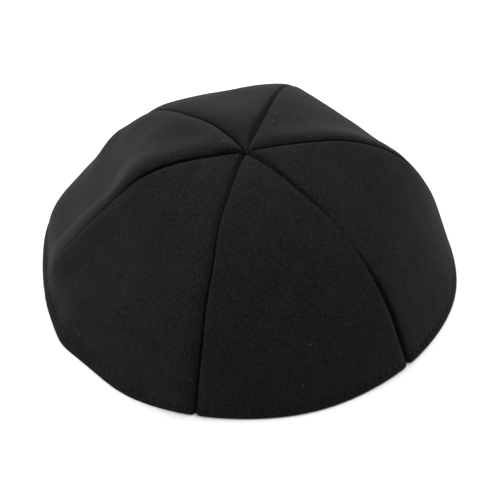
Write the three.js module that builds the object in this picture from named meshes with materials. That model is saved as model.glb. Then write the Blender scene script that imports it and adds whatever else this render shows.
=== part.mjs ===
// A kippah: a shallow padded cloth cap of six gores, standing on its rim.
// Millimetres, +Z up, origin under the middle of the footprint, -Y towards the front.
// Each gore is one closed solid. Its level sections run from one seam to the next with rounded sides.
import * as THREE from "three";

// Driving sizes
const HEIGHT = 68;
const WALL = 2.2;
const HEM_FOLD = 0.8;
const HEM_HEIGHT = 6;
const HEM_STEP = 0.8;
const SEAM_GAP = 0.3;
const SEAM_DIP = 0.8;
const SEAM_ROUND = 1.6;
const RIM_ROUND = 0.6;

// The crown, where the seams meet, stands a little in front of the middle of the footprint.
const CROWN_X = -1.3;
const CROWN_Y = -4.1;

// How the rows are spaced from crown to rim, and how the sides round out on the way down
const ROWS = 19;
const COLUMNS = 13;
const SWELL_COLUMN = 5;
const ROW_POWER = 2.3;
const BELLY_POWER = 2.5;

// Bends fade out this far from the crown's axis, and dents fade out beside a seam, more sharply the larger
// the second number is. The padding fades out near the rim and beside the gore's other seam.
const BEND_FADE = 8;
const DENT_FADE = 8;
const FOOT_FADE = 7;
const OTHER_SEAM_FADE = 2;

// One row per seam, anticlockwise from above. azimuth is in degrees from +X, reach is from the crown's axis
// to the rim, and (r / reach) ^ crown + (z / height) ^ flank = 1 is the seam's line.
const SEAMS = [
  { name: "front", azimuth: 256.75, reach: 90, crown: 2.35, flank: 1.45 },
  { name: "front_right", azimuth: 319.5, reach: 91.2, crown: 2.05, flank: 1.47 },
  { name: "right", azimuth: 378, reach: 93.7, crown: 2.65, flank: 1.68 },
  { name: "back", azimuth: 432.8, reach: 100, crown: 2.55, flank: 1.85 },
  { name: "back_left", azimuth: 487, reach: 91.5, crown: 2, flank: 2.15 },
  { name: "left", azimuth: 550, reach: 90, crown: 3.7, flank: 0.85 },
];

// One row per soft bend of a seam's line. z is the height of its middle and halfHeight its half size. It moves
// the line outwards from the axis and sideways, anticlockwise from above.
const BENDS = [
  { seam: "front", z: 62, halfHeight: 7, out: 0, sideways: -2 },
  { seam: "front", z: 45, halfHeight: 12, out: 0, sideways: -0.9 },
  { seam: "front_right", z: 67, halfHeight: 2.5, out: 0, sideways: 0.7 },
  { seam: "front_right", z: 56, halfHeight: 8, out: 0, sideways: 0.9 },
  { seam: "front_right", z: 38, halfHeight: 12, out: 0, sideways: 0.9 },
  { seam: "front_right", z: 13, halfHeight: 9, out: 0, sideways: -0.9 },
  { seam: "right", z: 67, halfHeight: 2.5, out: 0, sideways: -0.8 },
  { seam: "right", z: 56, halfHeight: 9, out: 0, sideways: 0.8 },
  { seam: "right", z: 46, halfHeight: 9, out: 0.7, sideways: 0 },
  { seam: "back", z: 56, halfHeight: 9, out: 0, sideways: 1.5 },
  { seam: "back_left", z: 66, halfHeight: 3, out: 0, sideways: -1.8 },
  { seam: "left", z: 49, halfHeight: 13, out: -4, sideways: 0 },
  { seam: "left", z: 17, halfHeight: 10, out: 3.5, sideways: 0 },
];

// One row per gore, from the seam of the same row to the next. A belly of 0 is a flat side between its two
// seams, and 1 is a round one.
const GORES = [
  { name: "panel_front", bellyTop: 0.8, bellyRim: 0.9 },
  { name: "panel_right", bellyTop: 0.43, bellyRim: 1.07 },
  { name: "panel_back_right", bellyTop: -0.1, bellyRim: 1.03 },
  { name: "panel_back_left", bellyTop: 0.97, bellyRim: 0.97 },
  { name: "panel_left", bellyTop: 0.77, bellyRim: 1.12 },
  { name: "panel_front_left", bellyTop: 0.55, bellyRim: 1.15 },
];

// One row per soft dent or swelling. across runs from 0 at the gore's first seam to 1 at its second, z is the
// height of its middle, halfAcross and halfHeight are its half sizes, and push is outwards.
const DENTS = [
  { gore: "panel_front", across: 0.5, z: 0, halfAcross: 0.3, halfHeight: 20, push: 0.6 },
  { gore: "panel_right", across: 0.5, z: 0, halfAcross: 0.3, halfHeight: 20, push: 1 },
  { gore: "panel_back_right", across: 0.3, z: 50, halfAcross: 0.3, halfHeight: 14, push: 0.8 },
  { gore: "panel_back_right", across: 0.6, z: 48, halfAcross: 0.3, halfHeight: 10, push: 1.6 },
  { gore: "panel_back_left", across: 0.5, z: 62, halfAcross: 0.35, halfHeight: 6, push: -3.8 },
  { gore: "panel_back_left", across: 0.5, z: 48, halfAcross: 0.3, halfHeight: 10, push: -2.8 },
  { gore: "panel_left", across: 0.12, z: 46, halfAcross: 0.2, halfHeight: 6, push: 2 },
  { gore: "panel_left", across: 0.2, z: 33.5, halfAcross: 0.2, halfHeight: 6, push: 2.8 },
  { gore: "panel_left", across: 0.25, z: 21, halfAcross: 0.16, halfHeight: 9, push: 0.7 },
  { gore: "panel_left", across: 0.45, z: 45, halfAcross: 0.25, halfHeight: 14, push: -2.5 },
  { gore: "panel_left", across: 0.55, z: 8, halfAcross: 0.2, halfHeight: 12, push: 4.2 },
  { gore: "panel_left", across: 0.8, z: 45, halfAcross: 0.25, halfHeight: 14, push: -2.9 },
  { gore: "panel_left", across: 0.8, z: 22, halfAcross: 0.25, halfHeight: 12, push: -2 },
  { gore: "panel_front_left", across: 0.15, z: 12, halfAcross: 0.15, halfHeight: 10, push: -1.2 },
  { gore: "panel_front_left", across: 0.3, z: 35, halfAcross: 0.3, halfHeight: 18, push: -2.6 },
  { gore: "panel_front_left", across: 0.3, z: 0, halfAcross: 0.08, halfHeight: 14, push: 0.8 },
  { gore: "panel_front_left", across: 0.5, z: 0, halfAcross: 0.18, halfHeight: 20, push: -2.4 },
  { gore: "panel_front_left", across: 0.75, z: 35, halfAcross: 0.3, halfHeight: 18, push: 1 },
];

// One row per side of a seam, for the padding that swells there. "before" is the gore that ends at the seam, and
// "after" is the gore that starts there. The padding has risen to most of its height at the distance rise from
// the seam, and fades out at reach. crown to rim are its heights at the shares of PADDING_PLACES down the seam.
const PADDING_PLACES = { crown: 0, top: 0.15, upper: 0.35, middle: 0.55, low: 0.8, rim: 1 };
const PADDINGS = {
  front: {
    before: { rise: 3.5, reach: 16, crown: 0.3, top: 0.4, upper: 0.5, middle: 1.2, low: 2.4, rim: 1.5 },
    after: { rise: 2.5, reach: 16, crown: 0, top: 0, upper: 0.2, middle: 0.5, low: 0.8, rim: 0.5 },
  },
  front_right: {
    before: { rise: 2, reach: 16, crown: 0.2, top: 0.3, upper: 0.3, middle: 0, low: 0.6, rim: 0.6 },
    after: { rise: 2, reach: 16, crown: 0.8, top: 0.8, upper: 0.8, middle: 0.3, low: 0.8, rim: 0.6 },
  },
  right: {
    before: { rise: 1.2, reach: 16, crown: 0.5, top: 0.9, upper: 0.9, middle: 0.7, low: 0.4, rim: 0 },
    after: { rise: 3, reach: 11, crown: 1.5, top: 2.4, upper: 2.5, middle: 2, low: 0.8, rim: 0 },
  },
  back: {
    before: { rise: 2, reach: 16, crown: 0.4, top: 0.6, upper: 0.6, middle: 0.6, low: 0.4, rim: 0 },
    after: { rise: 3, reach: 16, crown: 1.2, top: 1.4, upper: 0.7, middle: 0.6, low: 0.4, rim: 0 },
  },
  back_left: {
    before: { rise: 4, reach: 16, crown: 1, top: 1.6, upper: 1.6, middle: 1.2, low: 0.6, rim: 0 },
    after: { rise: 2.5, reach: 12, crown: 2, top: 2.8, upper: 1.8, middle: 0.5, low: 0.4, rim: 0 },
  },
  left: {
    before: { rise: 8, reach: 14, crown: 2.4, top: 3.8, upper: 4.6, middle: 3.6, low: 1.2, rim: 0 },
    after: { rise: 1.2, reach: 16, crown: 0, top: 0.1, upper: 0, middle: 0, low: 0.2, rim: 0.1 },
  },
};

// The cloth is matt black.
const CLOTH = { color: 0x24262a, roughness: 0.9, metalness: 0 };

// How far the shell's skin stands inside the outer form at a given height: nothing outside, the wall inside,
// and the wall with the turned-in hem near the rim.
function insetOf(inside, z) {
  if (!inside) {
    return 0;
  }
  return z < HEM_HEIGHT ? WALL + HEM_FOLD : WALL;
}

// How far a seam's soft bends move its line at one height.
function seamBend(name, z) {
  const bend = { out: 0, sideways: 0 };
  for (const row of BENDS.filter((one) => one.seam === name)) {
    const weight = Math.exp(-(((z - row.z) / row.halfHeight) ** 2));
    bend.out += row.out * weight;
    bend.sideways += row.sideways * weight;
  }
  return bend;
}

// The plan of a seam at one height, with the gap's half width taken off towards the gore.
function seamPoint(seam, z, inset, side) {
  const radius = (seam.reach - inset) * (1 - (z / HEIGHT) ** seam.flank) ** (1 / seam.crown);
  const fade = Math.min(1, radius / BEND_FADE);
  const bend = seamBend(seam.name, z);
  const angle = THREE.MathUtils.degToRad(seam.azimuth);
  const out = new THREE.Vector2(Math.cos(angle), Math.sin(angle));
  const across = new THREE.Vector2(-out.y, out.x);
  const sideways = bend.sideways * fade + (side * SEAM_GAP) / 2;
  return out.multiplyScalar(radius + bend.out * fade).addScaledVector(across, sideways);
}

// How far the gore's dents push a point outwards.
function dentPush(name, across, z) {
  let push = 0;
  for (const dent of DENTS.filter((row) => row.gore === name)) {
    const sideways = (across - dent.across) / dent.halfAcross;
    const upwards = (z - dent.z) / dent.halfHeight;
    push += dent.push * Math.exp(-(sideways ** 2) - upwards ** 2);
  }
  return push * Math.min(1, DENT_FADE * across * (1 - across));
}

// A point of a gore's skin. across is 0 at the first seam and 1 at the second, z is the height outside.
function skinPoint(index, across, z, inside) {
  const gore = GORES[index];
  const first = SEAMS[index];
  const second = SEAMS[(index + 1) % SEAMS.length];
  const turn = (second.azimuth - first.azimuth + 360) % 360;
  const half = THREE.MathUtils.degToRad(turn / 2);
  const middle = THREE.MathUtils.degToRad(first.azimuth) + half;
  const inset = insetOf(inside, z);
  const share = z / HEIGHT;
  const start = seamPoint(first, z, inset, 1);
  const end = seamPoint(second, z, inset, -1);
  const round = ((start.length() + end.length()) / 2) * (1 - Math.cos(half));
  const down = (1 - share) ** BELLY_POWER;
  const belly = gore.bellyTop * (1 - down) + gore.bellyRim * down;
  const bulge = 4 * across * (1 - across) * belly * round + dentPush(gore.name, across, z);
  const plan = start.lerp(end, across);
  plan.x += bulge * Math.cos(middle);
  plan.y += bulge * Math.sin(middle);
  return new THREE.Vector3(plan.x + CROWN_X, plan.y + CROWN_Y, share * (HEIGHT - inset));
}

// The gore's tip under the crown, where its two gaps close.
function tipPoint(index, inside) {
  const first = SEAMS[index];
  const second = SEAMS[(index + 1) % SEAMS.length];
  const half = THREE.MathUtils.degToRad(((second.azimuth - first.azimuth + 360) % 360) / 2);
  const middle = THREE.MathUtils.degToRad(first.azimuth) + half;
  const back = SEAM_GAP / 2 / Math.sin(half);
  const z = HEIGHT - insetOf(inside, HEIGHT) - (inside ? 0 : SEAM_DIP);
  return new THREE.Vector3(CROWN_X + back * Math.cos(middle), CROWN_Y + back * Math.sin(middle), z);
}

// Heights of the rows from the crown down to the rim, with extra rows at the hem's fold and at the rim.
function rowHeights() {
  const heights = [];
  for (let row = 1; row < ROWS; row += 1) {
    const z = HEIGHT * (1 - (row / ROWS) ** ROW_POWER);
    if (z > HEM_HEIGHT + 2 * HEM_STEP) {
      heights.push(z);
    }
  }
  heights.push(HEM_HEIGHT + HEM_STEP / 2, HEM_HEIGHT - HEM_STEP / 2, HEM_HEIGHT / 2, RIM_ROUND, 0);
  return heights;
}

// Places of the columns across one row of a given width: two close beside each seam, then even.
function columnPlaces(width) {
  const round = Math.min(SEAM_ROUND / width, 1 / COLUMNS);
  const swell = Math.min(SWELL_COLUMN / width, 2 / COLUMNS);
  const steps = COLUMNS - 4;
  const places = [0, round];
  for (let column = 0; column <= steps; column += 1) {
    places.push(swell + ((1 - 2 * swell) * column) / steps);
  }
  places.push(1 - round, 1);
  return places;
}

// A padding row's height at a share of the way down its seam.
function paddingHeight(row, down) {
  const names = Object.keys(PADDING_PLACES);
  const next = Math.max(1, names.findIndex((name) => PADDING_PLACES[name] >= down));
  const above = PADDING_PLACES[names[next - 1]];
  const below = PADDING_PLACES[names[next]];
  return THREE.MathUtils.lerp(row[names[next - 1]], row[names[next]], (down - above) / (below - above));
}

// How high one seam's padding stands at a distance from the seam, and from the gore's other seam.
function paddingLift(row, distance, other, z) {
  const down = (1 - z / HEIGHT) ** (1 / ROW_POWER);
  const height = paddingHeight(row, down) * Math.min(1, z / FOOT_FADE);
  const rise = (1 - Math.exp(-distance / row.rise)) * (1 - Math.exp(-other / OTHER_SEAM_FADE));
  return height * rise * Math.exp(-((distance / row.reach) ** 2));
}

// How much of the wall the outer skin dips, at the seams and at the rim's rounded edge.
function dipShare(across, z) {
  if (z === 0) {
    return RIM_ROUND / (WALL + HEM_FOLD);
  }
  return across === 0 || across === 1 ? SEAM_DIP / WALL : 0;
}

// The points of both skins at one place of a row of a given width, raised together by the padding.
function wallPoints(index, across, z, width) {
  const outer = skinPoint(index, across, z, false);
  const inner = skinPoint(index, across, z, true);
  const first = PADDINGS[SEAMS[index].name].after;
  const second = PADDINGS[SEAMS[(index + 1) % SEAMS.length].name].before;
  const fromFirst = across * width;
  const fromSecond = (1 - across) * width;
  const height = paddingLift(first, fromFirst, fromSecond, z) + paddingLift(second, fromSecond, fromFirst, z);
  const lift = outer.clone().sub(inner).setLength(height);
  outer.add(lift);
  inner.add(lift);
  return { outer: outer.lerp(inner, dipShare(across, z)), inner };
}

// The closed solid between two skins that share their rows and columns and each end in a tip.
function shellGeometry(outerRows, innerRows, outerTip, innerTip) {
  const positions = [];
  const indices = [];
  const add = (point) => positions.push(point.x, point.y, point.z) / 3 - 1;
  const outerTipId = add(outerTip);
  const innerTipId = add(innerTip);
  const outer = outerRows.map((row) => row.map(add));
  const inner = innerRows.map((row) => row.map(add));
  const triangle = (a, b, c) => indices.push(a, b, c);
  const quad = (a, b, c, d) => {
    triangle(a, b, c);
    triangle(a, c, d);
  };
  const lastRow = outer.length - 1;
  const lastColumn = outer[0].length - 1;
  for (let column = 0; column < lastColumn; column += 1) {
    triangle(outerTipId, outer[0][column], outer[0][column + 1]);
    triangle(innerTipId, inner[0][column + 1], inner[0][column]);
    for (let row = 0; row < lastRow; row += 1) {
      quad(outer[row][column], outer[row + 1][column], outer[row + 1][column + 1], outer[row][column + 1]);
      quad(inner[row][column], inner[row][column + 1], inner[row + 1][column + 1], inner[row + 1][column]);
    }
    quad(outer[lastRow][column], inner[lastRow][column], inner[lastRow][column + 1], outer[lastRow][column + 1]);
  }
  quad(outerTipId, innerTipId, inner[0][0], outer[0][0]);
  quad(innerTipId, outerTipId, outer[0][lastColumn], inner[0][lastColumn]);
  for (let row = 0; row < lastRow; row += 1) {
    quad(outer[row][0], inner[row][0], inner[row + 1][0], outer[row + 1][0]);
    quad(outer[row][lastColumn], outer[row + 1][lastColumn], inner[row + 1][lastColumn], inner[row][lastColumn]);
  }
  const geometry = new THREE.BufferGeometry();
  geometry.setAttribute("position", new THREE.Float32BufferAttribute(positions, 3));
  geometry.setIndex(indices);
  geometry.computeVertexNormals();
  return geometry;
}

// One gore as a named mesh.
function goreMesh(index) {
  const outerRows = [];
  const innerRows = [];
  for (const z of rowHeights()) {
    const width = skinPoint(index, 0, z, false).distanceTo(skinPoint(index, 1, z, false));
    const walls = columnPlaces(width).map((across) => wallPoints(index, across, z, width));
    outerRows.push(walls.map((wall) => wall.outer));
    innerRows.push(walls.map((wall) => wall.inner));
  }
  const geometry = shellGeometry(outerRows, innerRows, tipPoint(index, false), tipPoint(index, true));
  const mesh = new THREE.Mesh(geometry, new THREE.MeshStandardMaterial(CLOTH));
  mesh.name = GORES[index].name;
  return mesh;
}

const kippah = new THREE.Group();
kippah.name = "kippah";
for (let index = 0; index < GORES.length; index += 1) {
  kippah.add(goreMesh(index));
}

export default kippah;
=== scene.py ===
"""A black six-gore kippah standing on its rim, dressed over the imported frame.

Lengths are in millimetres until a mesh is made, and metres in Blender. -Y is the front.
"""

import math
from collections import namedtuple

import bpy
import numpy as np
from mathutils import Matrix, Vector, noise


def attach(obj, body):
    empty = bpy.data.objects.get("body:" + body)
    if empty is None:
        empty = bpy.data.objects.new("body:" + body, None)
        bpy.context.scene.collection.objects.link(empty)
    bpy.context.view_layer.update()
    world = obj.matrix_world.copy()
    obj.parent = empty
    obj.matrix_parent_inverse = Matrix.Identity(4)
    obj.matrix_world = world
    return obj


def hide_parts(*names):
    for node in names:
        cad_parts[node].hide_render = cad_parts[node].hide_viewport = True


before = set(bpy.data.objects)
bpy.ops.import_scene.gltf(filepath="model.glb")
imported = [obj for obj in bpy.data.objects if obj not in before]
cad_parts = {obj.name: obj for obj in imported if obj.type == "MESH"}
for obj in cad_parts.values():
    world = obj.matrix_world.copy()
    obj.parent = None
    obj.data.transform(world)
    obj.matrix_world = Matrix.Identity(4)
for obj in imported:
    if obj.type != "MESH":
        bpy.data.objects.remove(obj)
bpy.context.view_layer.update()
MM = 0.001
BODY = "root"

# Driving sizes of the form, as in the part's source
HEIGHT = 68.0
WALL = 2.2
HEM_FOLD = 0.8
HEM_HEIGHT = 6.0
CROWN_X = -1.3
CROWN_Y = -4.1

# How the rows are spaced from crown to rim, and how the sides round out on the way down
ROW_POWER = 2.3
BELLY_POWER = 2.5

# Bends fade out this far from the crown's axis, and dents fade out beside a seam, more sharply the larger the
# second number is. The padding fades out near the rim and beside the gore's other seam.
BEND_FADE = 8.0
DENT_FADE = 8.0
FOOT_FADE = 7.0
OTHER_SEAM_FADE = 2.0

# Two gores keep this gap at the bottom of the crevice between them
SEAM_GAP = 0.1

# The tuck beside a seam is a narrow crevice with a shallow shoulder. Their widths and the softness of the
# crevice's edge are shares of the tuck's width. The shoulder's depth is a share of the tuck's, and so is the
# depth that is left at the rim.
CREVICE = 0.6
CREVICE_EDGE = 0.16
SHOULDER = 1.8
SHOULDER_SHARE = 0.2
RIM_SHARE = 0.5

# Inside the cap the seam allowances stand up on both sides of a crevice
ALLOWANCE_REACH = 5.0
ALLOWANCE_RISE = 1.5
INSIDE_CREVICE_WIDTH = 0.6
INSIDE_CREVICE_DEPTH = 0.3

# The turned rim is round, and the hem's upper edge inside is soft
RIM_RADIUS = 0.6
HEM_EDGE = 0.25

# The hem's stitches. The middle of each one stands proud by its arch, and its ends dive below that. Both are
# in thread widths. The thread is thinner at its two ends.
STITCH_HEIGHT = 4.0
STITCH_PITCH = 3.6
STITCH_LENGTH = 2.7
STITCH_ARCH = 0.3
STITCH_DIVE = 1.6
STITCH_STOPS = 7
THREAD = 0.28
THREAD_SIDES = 6
THREAD_END_SHARE = 0.55

# The hem's grooves outside are the line of stitches, the pucker round each stitch and the swell below them,
# whose depth is negative. beat is how much deeper a groove is at a stitch, and shallower between two.
Groove = namedtuple("Groove", "z half_height depth beat")
OUTSIDE_GROOVES = [
    Groove(STITCH_HEIGHT, 0.6, 0.24, 0.16),
    Groove(STITCH_HEIGHT, 2.2, 0, 0.07),
    Groove(1.3, 1.7, -0.45, 0),
]
INSIDE_GROOVE = Groove(STITCH_HEIGHT, 0.8, 0.3, 0)

# The small soft waves that padded cloth always has. They fade out this near a seam or the rim, and each gore
# takes them from a place of its own in the noise.
Wave = namedtuple("Wave", "length height")
WAVES = [
    Wave(21, 0.34),
    Wave(7.5, 0.1),
]
WAVE_FADE = 6.0
WAVE_SHIFT_X = 17.3
WAVE_SHIFT_Y = 5.1

# One row per seam, anticlockwise from above. azimuth is in degrees from +X, reach is from the crown's axis to
# the rim, and (r / reach) ^ crown + (z / height) ^ flank = 1 is the seam's line.
Seam = namedtuple("Seam", "name azimuth reach crown flank")
SEAMS = [
    Seam("front", 256.75, 90, 2.35, 1.45),
    Seam("front_right", 319.5, 91.2, 2.05, 1.47),
    Seam("right", 378, 93.7, 2.65, 1.68),
    Seam("back", 432.8, 100, 2.55, 1.85),
    Seam("back_left", 487, 91.5, 2, 2.15),
    Seam("left", 550, 90, 3.7, 0.85),
]

# Six places down a seam, as shares of the rows from the crown to the rim
Places = namedtuple("Places", "crown top upper middle low rim")
PLACES = Places(0, 0.15, 0.35, 0.55, 0.8, 1)

# How wide the tuck at each seam is, and how deep it is at the six places
Tuck = namedtuple("Tuck", "width depths")
TUCKS = {
    "front": Tuck(1.15, Places(2.0, 2.7, 2.7, 2.7, 2.7, 2.4)),
    "front_right": Tuck(1.25, Places(1.2, 1.3, 1.0, 0.1, 1.9, 2.9)),
    "right": Tuck(0.7, Places(1.4, 1.0, 0.8, 0.5, 0.7, 0.9)),
    "back": Tuck(1.3, Places(1.9, 2.8, 1.6, 0.6, 0.8, 1.0)),
    "back_left": Tuck(0.8, Places(0.4, 1.4, 1.1, 0.6, 0.8, 1.0)),
    "left": Tuck(1, Places(1.5, 2.2, 2.2, 0.6, 0.1, 0.1)),
}

# The padding that swells beside each seam, as in the part's source. "before" is the gore that ends at the
# seam, and "after" is the gore that starts there. The padding has risen to most of its height at the
# distance rise from the seam, and fades out at reach. Its heights are at the same six places.
Padding = namedtuple("Padding", "rise reach heights")
PADDINGS = {
    ("front", "before"): Padding(3.5, 16, Places(0.3, 0.4, 0.5, 1.2, 2.4, 1.5)),
    ("front", "after"): Padding(2.5, 16, Places(0, 0, 0.2, 0.5, 0.8, 0.5)),
    ("front_right", "before"): Padding(2, 16, Places(0.2, 0.3, 0.3, 0, 0.6, 0.6)),
    ("front_right", "after"): Padding(2, 16, Places(0.8, 0.8, 0.8, 0.3, 0.8, 0.6)),
    ("right", "before"): Padding(1.2, 16, Places(0.5, 0.9, 0.9, 0.7, 0.4, 0)),
    ("right", "after"): Padding(3, 11, Places(1.5, 2.4, 2.5, 2.0, 0.8, 0)),
    ("back", "before"): Padding(2, 16, Places(0.4, 0.6, 0.6, 0.6, 0.4, 0)),
    ("back", "after"): Padding(3, 16, Places(1.2, 1.4, 0.7, 0.6, 0.4, 0)),
    ("back_left", "before"): Padding(4, 16, Places(1.0, 1.6, 1.6, 1.2, 0.6, 0)),
    ("back_left", "after"): Padding(2.5, 12, Places(2.0, 2.8, 1.8, 0.5, 0.4, 0)),
    ("left", "before"): Padding(8, 14, Places(2.4, 3.8, 4.6, 3.6, 1.2, 0)),
    ("left", "after"): Padding(1.2, 16, Places(0, 0.1, 0, 0, 0.2, 0.1)),
}

# Soft bends of the seams' lines, as in the part's source. z is the height of a bend's middle. It moves the
# line outwards from the axis and sideways, anticlockwise from above.
Bend = namedtuple("Bend", "seam z half_height out sideways")
BENDS = [
    Bend("front", 62, 7, 0, -2),
    Bend("front", 45, 12, 0, -0.9),
    Bend("front_right", 67, 2.5, 0, 0.7),
    Bend("front_right", 56, 8, 0, 0.9),
    Bend("front_right", 38, 12, 0, 0.9),
    Bend("front_right", 13, 9, 0, -0.9),
    Bend("right", 67, 2.5, 0, -0.8),
    Bend("right", 56, 9, 0, 0.8),
    Bend("right", 46, 9, 0.7, 0),
    Bend("back", 56, 9, 0, 1.5),
    Bend("back_left", 66, 3, 0, -1.8),
    Bend("left", 49, 13, -4, 0),
    Bend("left", 17, 10, 3.5, 0),
]

# Each gore runs from the seam of the same row to the next. A belly of 0 is flat, and 1 is round. grain is how
# far the weave is turned from the gore's middle line, in degrees.
Gore = namedtuple("Gore", "name node belly_top belly_rim grain")
GORES = [
    Gore("gore_front", "panel_front", 0.8, 0.9, 4),
    Gore("gore_right", "panel_right", 0.43, 1.07, -6),
    Gore("gore_back_right", "panel_back_right", -0.1, 1.03, 5),
    Gore("gore_back_left", "panel_back_left", 0.97, 0.97, -3),
    Gore("gore_left", "panel_left", 0.77, 1.12, 7),
    Gore("gore_front_left", "panel_front_left", 0.55, 1.15, -47),
]

# Soft dents and swellings, as in the part's source. across runs from 0 at the gore's first seam to 1 at its
# second, z is the height of a dent's middle, and push is outwards.
Dent = namedtuple("Dent", "gore across z half_across half_height push")
DENTS = [
    Dent("gore_front", 0.5, 0, 0.3, 20, 0.6),
    Dent("gore_right", 0.5, 0, 0.3, 20, 1),
    Dent("gore_back_right", 0.3, 50, 0.3, 14, 0.8),
    Dent("gore_back_right", 0.6, 48, 0.3, 10, 1.6),
    Dent("gore_back_left", 0.5, 62, 0.35, 6, -3.8),
    Dent("gore_back_left", 0.5, 48, 0.3, 10, -2.8),
    Dent("gore_left", 0.12, 46, 0.2, 6, 2),
    Dent("gore_left", 0.2, 33.5, 0.2, 6, 2.8),
    Dent("gore_left", 0.25, 21, 0.16, 9, 0.7),
    Dent("gore_left", 0.45, 45, 0.25, 14, -2.5),
    Dent("gore_left", 0.55, 8, 0.2, 12, 4.2),
    Dent("gore_left", 0.8, 45, 0.25, 14, -2.9),
    Dent("gore_left", 0.8, 22, 0.25, 12, -2),
    Dent("gore_front_left", 0.15, 12, 0.15, 10, -1.2),
    Dent("gore_front_left", 0.3, 35, 0.3, 18, -2.6),
    Dent("gore_front_left", 0.3, 0, 0.08, 14, 0.8),
    Dent("gore_front_left", 0.5, 0, 0.18, 20, -2.4),
    Dent("gore_front_left", 0.75, 35, 0.3, 18, 1),
]

# How finely a gore is drawn. The rows of the hem's zone crowd towards the rim, and the columns crowd towards
# the seams.
DOME_ROWS = 104
HEM_ROWS = 26
HEM_ZONE = 8.0
HEM_ROW_POWER = 1.25
COLUMNS = 192
EDGE_CROWDING = 0.8

# The weave's ribs and threads: how far apart they are, their shares of its height, and its middle height
WARP_PITCH = 0.9
WARP_SHARE = 0.36
WEFT_PITCH = 0.62
WEFT_SHARE = 0.14
WEAVE_MIDDLE = 0.5

# How much each part counts in the cloth's tone, and the shift that brings their sum to about 0 to 1
CLOUD_WEIGHT = 0.5
THREAD_WEIGHT = 1.6
WEAVE_WEIGHT = 0.6
TONE_SHIFT = -0.85

# Noises of the materials. scale is in cycles to the metre, and detail is how many finer layers there are.
Grain = namedtuple("Grain", "scale detail")
CLOUDS = Grain(90, 4)
SINGLE_THREADS = Grain(1100, 1)
NAP = Grain(2200, 3)
TWIST = Grain(2600, 2)

# The specks of lint: cells to the metre in space, and a speck's radius as a share of its cell. The cloth's
# skin meets few of them.
LINT_CELLS = 95
LINT_SPECK = 0.024
LINT_COLOUR = (0.11, 0.11, 0.115, 1)

# Bumps: how deep they are at full strength, and the strength of each
BUMP_DEPTH = 0.12
WEAVE_BUMP = 0.3
NAP_BUMP = 0.3
TWIST_BUMP = 0.6

# The darkest and the lightest tone of a material, and the values that they stand at
Tone = namedtuple("Tone", "value colour")
CLOTH_TONES = [
    Tone(0.2, (0.0043, 0.0048, 0.0054)),
    Tone(0.8, (0.0117, 0.0128, 0.0140)),
]
THREAD_TONES = [
    Tone(0.0, (0.0045, 0.0048, 0.0053)),
    Tone(1.0, (0.0100, 0.0105, 0.0115)),
]

# Soft lights from far off, in degrees: azimuth from +X, elevation above the floor, and how wide each one is
Light = namedtuple("Light", "name azimuth elevation spread strength")
LIGHTS = [
    Light("high_back", 58, 60, 50, 3.15),
    Light("low_back", 90, 16, 30, 1.3),
    Light("left", 180, 35, 50, 2.5),
    Light("right", 330, 16, 30, 0.35),
]
ROOM_STRENGTH = 0.15
FLOOR_HALF_WIDTH = 4000

# The camera stands above the front and looks at a point inside the cap. Its focal length is in pixels of a
# picture as wide as PICTURE_PIXELS.
CAMERA_ELEVATION = 43.4
CAMERA_DISTANCE = 750
CAMERA_TARGET = (0.8, -4.1, 11.0)
FOCAL_PIXELS = 1686
PICTURE_PIXELS = 500
SENSOR_WIDTH = 36


def hump(value, middle, half_size):
    """1 at its middle, and fading out softly on both sides."""
    return np.exp(-(((value - middle) / half_size) ** 2))


def soft_step(value, edge, softness):
    """1 below an edge and 0 above it, with a soft change between."""
    return 1 / (1 + np.exp((value - edge) / softness))


def gore_seams(index):
    """The seams where a gore starts and ends."""
    return SEAMS[index], SEAMS[(index + 1) % len(SEAMS)]


def gore_angles(index):
    """Half the angle between a gore's two seams, and the direction of its middle."""
    first, second = gore_seams(index)
    half = math.radians((second.azimuth - first.azimuth) % 360) / 2
    return half, math.radians(first.azimuth) + half


def seam_plan(seam, z, inset, side):
    """The seam's plan points at some heights, bent, and moved sideways by half the gap."""
    radius = (seam.reach - inset) * (1 - (z / HEIGHT) ** seam.flank) ** (1 / seam.crown)
    fade = np.minimum(1, radius / BEND_FADE)
    sideways = np.full_like(radius, side * SEAM_GAP / 2)
    for bend in BENDS:
        if bend.seam == seam.name:
            weight = fade * hump(z, bend.z, bend.half_height)
            radius = radius + bend.out * weight
            sideways = sideways + bend.sideways * weight
    angle = math.radians(seam.azimuth)
    out = np.array([math.cos(angle), math.sin(angle)])
    across = np.array([-out[1], out[0]])
    return radius[..., None] * out + sideways[..., None] * across


def dent_push(name, across, z):
    """How far the gore's soft dents push its skin outwards."""
    push = np.zeros_like(across)
    for dent in DENTS:
        if dent.gore == name:
            sideways = (across - dent.across) / dent.half_across
            upwards = (z - dent.z) / dent.half_height
            push += dent.push * np.exp(-(sideways**2) - upwards**2)
    return push * np.minimum(1, DENT_FADE * across * (1 - across))


def form(index, across, z, inset):
    """Points of a gore's smooth form, for arrays of one shape. z is the height on the outside."""
    gore = GORES[index]
    first, second = gore_seams(index)
    half, middle = gore_angles(index)
    start = seam_plan(first, z, inset, 1)
    end = seam_plan(second, z, inset, -1)
    radius = (np.linalg.norm(start, axis=-1) + np.linalg.norm(end, axis=-1)) / 2
    share = z / HEIGHT
    down = (1 - share) ** BELLY_POWER
    belly = gore.belly_top * (1 - down) + gore.belly_rim * down
    roundness = radius * (1 - math.cos(half))
    bulge = 4 * across * (1 - across) * belly * roundness + dent_push(gore.name, across, z)
    outwards = np.array([math.cos(middle), math.sin(middle)])
    plan = start + (end - start) * across[..., None] + bulge[..., None] * outwards
    height = share * (HEIGHT - inset)
    return np.stack([plan[..., 0] + CROWN_X, plan[..., 1] + CROWN_Y, height], axis=-1)


def share_down(z):
    """How far down from crown to rim a height is, in the measure that spaces the rows."""
    return (1 - z / HEIGHT) ** (1 / ROW_POWER)


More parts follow.
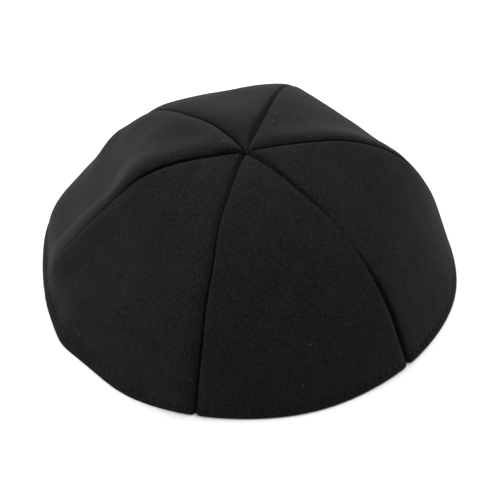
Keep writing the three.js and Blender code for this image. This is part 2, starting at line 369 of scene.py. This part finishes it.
def down_the_seam(values, z):
    """What the values at the six places down a seam come to at some heights."""
    return np.interp(share_down(z), PLACES, values)


def foot_fade(z):
    """0 at the rim, and 1 from the top of the foot upwards."""
    return np.clip(z / FOOT_FADE, 0, 1)


def seam_sink(seam, distance, z):
    """How deep the cloth is tucked in beside a seam, at a distance from it and a height."""
    tuck = TUCKS[seam.name]
    depth = down_the_seam(tuck.depths, z) * (RIM_SHARE + (1 - RIM_SHARE) * foot_fade(z))
    share = distance / tuck.width
    return depth * (soft_step(share, CREVICE, CREVICE_EDGE) + SHOULDER_SHARE * hump(share, 0, SHOULDER))


def padding_lift(seam, side, distance, other, z):
    """How high the padding of a seam's side stands, at distances from that seam and the gore's other one."""
    padding = PADDINGS[seam.name, side]
    height = down_the_seam(padding.heights, z) * foot_fade(z)
    rise = (1 - np.exp(-distance / padding.rise)) * (1 - np.exp(-other / OTHER_SEAM_FADE))
    return height * rise * hump(distance, 0, padding.reach)


def groove_depth(groove, z, beat):
    """How deep a groove of the hem is at a height. beat is 1 at a stitch and -1 between two."""
    return (groove.depth + groove.beat * beat) * hump(z, groove.z, groove.half_height)


def rim_sink(z):
    """How far the skin is drawn in at the turned edge, which is round where it meets the surface."""
    below = np.clip(RIM_RADIUS - z, 0, RIM_RADIUS)
    return RIM_RADIUS - np.sqrt(RIM_RADIUS**2 - below**2)


def allowance_height(distance):
    """How far the seam allowance stands into the cap at a distance from the seam."""
    ridge = ALLOWANCE_RISE * np.exp(-((distance / ALLOWANCE_REACH) ** 4))
    return ridge - INSIDE_CREVICE_DEPTH * np.exp(-distance / INSIDE_CREVICE_WIDTH)


def unevenness(points, from_seam, z, seed):
    """How far the small soft waves push a grid of points outwards."""
    shift = Vector((seed * WAVE_SHIFT_X, seed * WAVE_SHIFT_Y, 0))
    flat_points = points.reshape(-1, 3)
    values = np.empty(len(flat_points))
    for place, point in enumerate(flat_points):
        where = Vector(point)
        values[place] = sum(wave.height * noise.noise(where / wave.length + shift) for wave in WAVES)
    calm = np.clip(from_seam / WAVE_FADE, 0, 1) * np.clip(z / WAVE_FADE, 0, 1)
    return values.reshape(z.shape) * calm


def row_heights():
    """Heights of the rows from just below the crown to the rim, close together at the hem."""
    dome = HEIGHT * (1 - np.linspace(0, share_down(HEM_ZONE), DOME_ROWS + 1)[1:] ** ROW_POWER)
    hem = HEM_ZONE * (1 - np.linspace(0, 1, HEM_ROWS + 1)[1:]) ** HEM_ROW_POWER
    return np.concatenate([dome, hem])


def column_places():
    """Shares across a gore, crowded beside the two seams."""
    even = np.linspace(0, 1, COLUMNS + 1)
    return even - EDGE_CROWDING * np.sin(2 * math.pi * even) / (2 * math.pi)


def arc_lengths(points, axis):
    """Running length along a grid's rows (axis 1) or columns (axis 0)."""
    steps = np.linalg.norm(np.diff(points, axis=axis), axis=-1)
    running = np.cumsum(steps, axis=axis)
    pad = [(0, 0), (0, 0)]
    pad[axis] = (1, 0)
    return np.pad(running, pad)


def stitch_count(width):
    """How many stitches a gore of some width has along its hem."""
    return round(float(width) / STITCH_PITCH)


def stitch_beat(across, width):
    """1 at each stitch and -1 between two, at shares across a gore of some width."""
    return -np.cos(2 * math.pi * across * stitch_count(width))


def smooth_skins(index, across, z):
    """A gore's smooth outer and inner skin, and the directions from the one to the other."""
    outer = form(index, across, z, 0)
    fold = soft_step(z, HEM_HEIGHT, HEM_EDGE)
    inner = form(index, across, z, WALL + HEM_FOLD * fold)
    thickness = np.linalg.norm(inner - outer, axis=-1)
    return outer, inner, (inner - outer) / thickness[..., None]


def weave_places(skin, along):
    """Where a skin's points lie in the flat cloth: sideways from the middle line, and down from the top."""
    middle = COLUMNS // 2
    sideways = along - along[:, middle : middle + 1]
    down = arc_lengths(skin, 0)[:, middle : middle + 1] + np.zeros_like(sideways)
    return np.stack([sideways, down], axis=-1)


def gore_skins(index):
    """The outer and inner skin of a gore as grids of points, and the weave's place on them."""
    z, across = np.meshgrid(row_heights(), column_places(), indexing="ij")
    outer, inner, inward = smooth_skins(index, across, z)
    first, second = gore_seams(index)
    along = arc_lengths(outer, 1)
    width = along[:, -1:]
    from_first = across * width
    from_second = (1 - across) * width
    from_seam = np.minimum(from_first, from_second)

    lift = padding_lift(first, "after", from_first, from_second, z)
    lift = lift + padding_lift(second, "before", from_second, from_first, z)
    outer = outer - inward * lift[..., None]
    inner = inner - inward * lift[..., None]
    weave = weave_places(outer, along)

    tuck = np.maximum(seam_sink(first, from_first, z), seam_sink(second, from_second, z))
    beat = stitch_beat(across, width[-1, 0])
    hem = sum(groove_depth(groove, z, beat) for groove in OUTSIDE_GROOVES)
    outer_sink = tuck + hem + rim_sink(z) - unevenness(outer, from_seam, z, index + 1)
    inner_sink = groove_depth(INSIDE_GROOVE, z, beat) + rim_sink(z) - allowance_height(from_seam)
    return outer + inward * outer_sink[..., None], inner - inward * inner_sink[..., None], weave


def gore_tips(index):
    """The gore's outer and inner tip under the crown, where the gaps beside it close."""
    first, second = gore_seams(index)
    half, middle = gore_angles(index)
    back = SEAM_GAP / 2 / math.sin(half)
    x = CROWN_X + back * math.cos(middle)
    y = CROWN_Y + back * math.sin(middle)
    tuck = max(TUCKS[first.name].depths.crown, TUCKS[second.name].depths.crown)
    outer_depth = (1 + SHOULDER_SHARE) * tuck
    inner_depth = WALL + ALLOWANCE_RISE - INSIDE_CREVICE_DEPTH
    return np.array([[x, y, HEIGHT - outer_depth], [x, y, HEIGHT - inner_depth]])


def shell_faces(rows, columns):
    """Faces of a closed shell. Its points are the outer and inner tip, then the outer and inner grid."""
    outer_tip = 0
    inner_tip = 1
    outer = 2 + np.arange(rows * columns).reshape(rows, columns)
    inner = outer + rows * columns
    faces = []

    def quads(a, b, c, d):
        faces.extend(np.stack([a.ravel(), b.ravel(), c.ravel(), d.ravel()], axis=1).tolist())

    quads(outer[:-1, :-1], outer[1:, :-1], outer[1:, 1:], outer[:-1, 1:])
    quads(inner[:-1, :-1], inner[:-1, 1:], inner[1:, 1:], inner[1:, :-1])
    quads(outer[-1, :-1], inner[-1, :-1], inner[-1, 1:], outer[-1, 1:])
    quads(outer[:-1, 0], inner[:-1, 0], inner[1:, 0], outer[1:, 0])
    quads(outer[:-1, -1], outer[1:, -1], inner[1:, -1], inner[:-1, -1])
    for column in range(columns - 1):
        faces.append([outer_tip, outer[0, column], outer[0, column + 1]])
        faces.append([inner_tip, inner[0, column + 1], inner[0, column]])
    faces.append([outer_tip, inner_tip, inner[0, 0], outer[0, 0]])
    faces.append([inner_tip, outer_tip, outer[0, -1], inner[0, -1]])
    return faces


def new_object(name, points, faces, material):
    """A smooth mesh object from points in millimetres."""
    mesh = bpy.data.meshes.new(name)
    mesh.from_pydata((np.asarray(points) * MM).tolist(), [], faces)
    mesh.polygons.foreach_set("use_smooth", [True] * len(mesh.polygons))
    mesh.materials.append(material)
    mesh.update()
    piece = bpy.data.objects.new(name, mesh)
    bpy.context.collection.objects.link(piece)
    return piece


def lay_weave(mesh, places, grain):
    """A UV map in millimetres along and across the weave."""
    turn = math.radians(grain)
    u = places[:, 0] * math.cos(turn) + places[:, 1] * math.sin(turn)
    v = places[:, 1] * math.cos(turn) - places[:, 0] * math.sin(turn)
    corners = np.empty(len(mesh.loops), dtype=np.int64)
    mesh.loops.foreach_get("vertex_index", corners)
    layer = mesh.uv_layers.new(name="weave")
    layer.data.foreach_set("uv", np.stack([u[corners], v[corners]], axis=1).ravel())


def make_gore(index, material):
    """One padded gore as a closed mesh, in the place of its solid, with its two skins."""
    gore = GORES[index]
    outer, inner, weave = gore_skins(index)
    tips = gore_tips(index)
    points = np.concatenate([tips, outer.reshape(-1, 3), inner.reshape(-1, 3)])
    piece = new_object(gore.name, points, shell_faces(*outer.shape[:2]), material)
    skin_weave = weave.reshape(-1, 2)
    tip_weave = np.zeros((len(tips), 2))
    lay_weave(piece.data, np.concatenate([tip_weave, skin_weave, skin_weave]), gore.grain)
    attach(piece, BODY)
    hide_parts(gore.node)
    return piece, outer, inner


def thread_tube(path, out):
    """A capped tube of thread along a short path, whose frame leans on the outward direction."""
    points = []
    faces = []
    last = len(path) - 1
    for place, centre in enumerate(path):
        ahead = path[min(place + 1, last)] - path[max(place - 1, 0)]
        ahead = ahead / np.linalg.norm(ahead)
        lift = out - ahead * np.dot(out, ahead)
        lift = lift / np.linalg.norm(lift)
        side = np.cross(ahead, lift)
        radius = THREAD / 2 * (THREAD_END_SHARE if place in (0, last) else 1)
        for corner in range(THREAD_SIDES):
            angle = 2 * math.pi * corner / THREAD_SIDES
            points.append(centre + radius * (math.cos(angle) * lift + math.sin(angle) * side))
    for ring in range(last):
        low = ring * THREAD_SIDES
        high = low + THREAD_SIDES
        for corner in range(THREAD_SIDES):
            following = (corner + 1) % THREAD_SIDES
            faces.append([low + corner, low + following, high + following, high + corner])
    faces.append(list(reversed(range(THREAD_SIDES))))
    faces.append([last * THREAD_SIDES + corner for corner in range(THREAD_SIDES)])
    return points, faces


def read_along(stops, running, values):
    """Rows of x, y and z, read at some running lengths of their line."""
    return np.stack([np.interp(stops, running, column) for column in values.T], axis=-1)


def stitch_paths(skin, other):
    """Centre lines of one gore's stitches on a skin, with the outward direction of each."""
    row = int(np.argmin(np.abs(row_heights() - STITCH_HEIGHT)))
    line = skin[row]
    out = line - other[row]
    out = out / np.linalg.norm(out, axis=-1)[:, None]
    running = np.concatenate([[0], np.cumsum(np.linalg.norm(np.diff(line, axis=0), axis=-1))])
    count = stitch_count(running[-1])
    pitch = running[-1] / count
    reach = np.linspace(-0.5, 0.5, STITCH_STOPS)
    arch = THREAD * (STITCH_ARCH - STITCH_DIVE * np.abs(2 * reach) ** 3)
    for stitch in range(count):
        middle = (stitch + 0.5) * pitch
        path = read_along(middle + reach * STITCH_LENGTH, running, line)
        lift = read_along(middle, running, out)
        yield path + arch[:, None] * lift, lift


def make_stitches(name, skins, material):
    """The row of hem stitches round the whole rim, as one mesh."""
    points = []
    faces = []
    for skin, other in skins:
        for path, out in stitch_paths(skin, other):
            more_points, more_faces = thread_tube(path, out)
            start = len(points)
            points.extend(more_points)
            faces.extend([[start + corner for corner in face] for face in more_faces])
    piece = new_object(name, points, faces, material)
    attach(piece, BODY)
    return piece


def new_material(name, finish):
    """A material and its shader, with the finish set by the names of the shader's inputs."""
    material = bpy.data.materials.new(name)
    material.use_nodes = True
    shader = material.node_tree.nodes["Principled BSDF"]
    for socket, value in finish.items():
        shader.inputs[socket].default_value = value
    return material, shader


def math_node(tree, operation, first, second=None):
    """A Math node whose inputs are sockets or numbers."""
    node = tree.nodes.new("ShaderNodeMath")
    node.operation = operation
    for place, value in enumerate((first, second)):
        if value is None:
            continue
        if isinstance(value, (int, float)):
            node.inputs[place].default_value = value
        else:
            tree.links.new(value, node.inputs[place])
    return node.outputs[0]


def weighted_sum(tree, parts, shift):
    """The sum of some sockets, each times its weight, and a shift."""
    total = shift
    for value, weight in parts:
        total = math_node(tree, "ADD", math_node(tree, "MULTIPLY", value, weight), total)
    return total


def sine_wave(tree, place, pitch):
    """A wave between -1 and 1 that repeats at a pitch."""
    return math_node(tree, "SINE", math_node(tree, "MULTIPLY", place, 2 * math.pi / pitch))


def noise_texture(tree, grain):
    """A noise over the object's own space."""
    place = tree.nodes.new("ShaderNodeTexCoord")
    texture = tree.nodes.new("ShaderNodeTexNoise")
    texture.inputs["Scale"].default_value = grain.scale
    texture.inputs["Detail"].default_value = grain.detail
    tree.links.new(place.outputs["Object"], texture.inputs["Vector"])
    return texture.outputs["Fac"]


def tone_ramp(tree, value, tones):
    """A colour that runs from a dark to a light tone."""
    ramp = tree.nodes.new("ShaderNodeValToRGB")
    for element, tone in zip(ramp.color_ramp.elements, tones):
        element.position = tone.value
        element.color = (*tone.colour, 1)
    tree.links.new(value, ramp.inputs["Fac"])
    return ramp.outputs["Color"]


def add_bump(tree, height, strength, before=None):
    """A bump, laid over another one where that is given."""
    bump = tree.nodes.new("ShaderNodeBump")
    bump.inputs["Strength"].default_value = strength
    bump.inputs["Distance"].default_value = BUMP_DEPTH * MM
    tree.links.new(height, bump.inputs["Height"])
    if before:
        tree.links.new(before, bump.inputs["Normal"])
    return bump.outputs["Normal"]


def weave_height(tree):
    """Height of a fine plain weave with faint ribs, from 0 to 1, from the UV map in millimetres."""
    uv = tree.nodes.new("ShaderNodeUVMap")
    uv.uv_map = "weave"
    parts = tree.nodes.new("ShaderNodeSeparateXYZ")
    tree.links.new(uv.outputs[0], parts.inputs[0])
    warp = sine_wave(tree, parts.outputs[0], WARP_PITCH)
    weft = sine_wave(tree, parts.outputs[1], WEFT_PITCH)
    return weighted_sum(tree, [(warp, WARP_SHARE), (weft, WEFT_SHARE)], WEAVE_MIDDLE)


def cloth_tone(tree, weave):
    """How light the cloth is at a point, about 0 to 1: clouds, single threads and the weave together."""
    clouds = noise_texture(tree, CLOUDS)
    threads = noise_texture(tree, SINGLE_THREADS)
    parts = [(clouds, CLOUD_WEIGHT), (threads, THREAD_WEIGHT), (weave, WEAVE_WEIGHT)]
    return weighted_sum(tree, parts, TONE_SHIFT)


def lint(tree):
    """1 on the few specks of lint, and 0 elsewhere."""
    place = tree.nodes.new("ShaderNodeTexCoord")
    cells = tree.nodes.new("ShaderNodeTexVoronoi")
    cells.inputs["Scale"].default_value = LINT_CELLS
    tree.links.new(place.outputs["Object"], cells.inputs["Vector"])
    return math_node(tree, "LESS_THAN", cells.outputs["Distance"], LINT_SPECK)


def cloth_material():
    """Matt black cloth: a fine weave, faint cloudiness, a soft nap and a few specks of lint."""
    finish = {
        "Roughness": 0.75,
        "Specular IOR Level": 0.02,
        "Sheen Weight": 0.038,
        "Sheen Roughness": 0.5,
        "Sheen Tint": (0.95, 1.0, 1.0, 1),
    }
    material, shader = new_material("black_cloth_fine", finish)
    tree = material.node_tree
    weave = weave_height(tree)
    mix = tree.nodes.new("ShaderNodeMix")
    mix.data_type = "RGBA"
    tree.links.new(lint(tree), mix.inputs["Factor"])
    tree.links.new(tone_ramp(tree, cloth_tone(tree, weave), CLOTH_TONES), mix.inputs["A"])
    mix.inputs["B"].default_value = LINT_COLOUR
    tree.links.new(mix.outputs["Result"], shader.inputs["Base Color"])
    threads = add_bump(tree, weave, WEAVE_BUMP)
    nap = add_bump(tree, noise_texture(tree, NAP), NAP_BUMP, threads)
    tree.links.new(nap, shader.inputs["Normal"])
    return material


def thread_material():
    """Black sewing thread, twisted, as dark as the cloth."""
    finish = {"Roughness": 0.6, "Specular IOR Level": 0.15}
    material, shader = new_material("black_thread", finish)
    tree = material.node_tree
    twist = noise_texture(tree, TWIST)
    tree.links.new(tone_ramp(tree, twist, THREAD_TONES), shader.inputs["Base Color"])
    tree.links.new(add_bump(tree, twist, TWIST_BUMP), shader.inputs["Normal"])
    return material


def floor_material():
    """A plain white surface."""
    finish = {"Base Color": (0.93, 0.93, 0.93, 1), "Roughness": 0.9, "Specular IOR Level": 0.1}
    material, _ = new_material("white_floor", finish)
    return material


def make_floor():
    """The plain floor that the cap stands on."""
    side = FLOOR_HALF_WIDTH
    corners = [(-side, -side, 0), (side, -side, 0), (side, side, 0), (-side, side, 0)]
    floor = new_object("floor", corners, [[0, 1, 2, 3]], floor_material())


def facing(direction):
    """The turn of a camera or light that looks back along a direction."""
    return direction.to_track_quat("Z", "Y").to_matrix().to_4x4()


def make_camera():
    """The camera at the photograph's angle, above the front."""
    elevation = math.radians(CAMERA_ELEVATION)
    back = Vector((0, -math.cos(elevation), math.sin(elevation)))
    place = Vector(CAMERA_TARGET) + back * CAMERA_DISTANCE
    data = bpy.data.cameras.new("camera")
    data.sensor_width = SENSOR_WIDTH
    data.lens = SENSOR_WIDTH * FOCAL_PIXELS / PICTURE_PIXELS
    camera = bpy.data.objects.new("camera", data)
    camera.matrix_world = Matrix.Translation(place * MM) @ facing(back)
    bpy.context.collection.objects.link(camera)
    bpy.context.scene.camera = camera


def make_light(row):
    """One soft light from far off."""
    data = bpy.data.lights.new(row.name, "SUN")
    data.angle = math.radians(row.spread)
    data.energy = row.strength
    light = bpy.data.objects.new(row.name, data)
    azimuth = math.radians(row.azimuth)
    elevation = math.radians(row.elevation)
    level = math.cos(elevation)
    direction = Vector((math.cos(azimuth) * level, math.sin(azimuth) * level, math.sin(elevation)))
    light.matrix_world = facing(direction)
    bpy.context.collection.objects.link(light)


def make_room():
    """A soft white room, lit more from the back and the left than from the camera's side."""
    world = bpy.data.worlds.new("room")
    world.use_nodes = True
    background = world.node_tree.nodes["Background"]
    background.inputs["Color"].default_value = (1, 1, 1, 1)
    background.inputs["Strength"].default_value = ROOM_STRENGTH
    bpy.context.scene.world = world
    for row in LIGHTS:
        make_light(row)
    bpy.context.scene.view_settings.view_transform = "Standard"


def main():
    """Builds every piece, and then builds the floor, the camera and the room."""
    cloth = cloth_material()
    thread = thread_material()
    made = [make_gore(index, cloth) for index in range(len(GORES))]
    outside = make_stitches("hem_stitches_outside", [(outer, inner) for _, outer, inner in made], thread)
    inside = make_stitches("hem_stitches_inside", [(inner, outer) for _, outer, inner in made], thread)
    make_floor()
    make_camera()
    make_room()


main()
